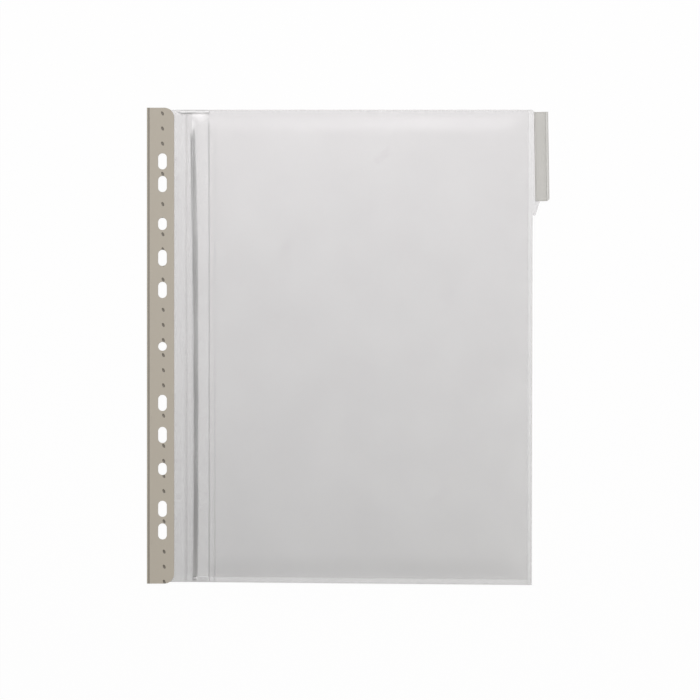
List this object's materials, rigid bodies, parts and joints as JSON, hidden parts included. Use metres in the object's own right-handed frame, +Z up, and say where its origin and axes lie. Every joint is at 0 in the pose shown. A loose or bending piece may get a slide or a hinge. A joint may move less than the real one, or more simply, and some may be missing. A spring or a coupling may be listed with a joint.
{
  "type": "document display panel",
  "caption": "Flat clear film pocket for one A4 sheet, with a punched and welded filing strip on its left, a lip along its mouth and a labelled index tab on its free edge.",
  "frame": {"origin": "Middle of the panel's outline, on the surface it lies on.", "axes": "+Z is up, out of the front face. +Y runs up the page, along the filing strip. +X runs from the strip to the index tab."},
  "size_m": [0.2665, 0.316, 0.0032],
  "materials": {
    "filing_strip": "taupe polypropylene, finely embossed",
    "clear_film": "clear polypropylene film with a slight grey haze",
    "tab_plastic": "extruded translucent grey plastic",
    "label_card": "uncoated white card"
  },
  "bodies": {
    "strip": {"filing_strip": "filing_strip", "back_margin": "clear_film", "front_margin": "clear_film"},
    "panel": {"back_sheet": "clear_film", "front_sheet": "clear_film", "inner_lip": "clear_film"},
    "lip": {"front_lip": "clear_film"},
    "tab": {"index_tab": "tab_plastic"},
    "label": {"tab_label": "label_card"}
  },
  "joints": [
    {"name": "panel_turn", "type": "hinge", "parent": "strip", "child": "panel", "pos_m": [-0.10786, 0, 0.0011], "axis": [0, -1, 0], "range_deg": [0, 130]},
    {"name": "lip_lift", "type": "hinge", "parent": "panel", "child": "lip", "pos_m": [-0.09216, 0, 0.0014], "axis": [0, 1, 0], "range_deg": [0, 30]},
    {"name": "tab_pull", "type": "slide", "parent": "panel", "child": "tab", "axis": [1, 0, 0], "range_m": [0, 0.005]},
    {"name": "label_slide", "type": "slide", "parent": "tab", "child": "label", "axis": [-0.0157, 0.9999, 0], "range_m": [0, 0.055]}
  ]
}
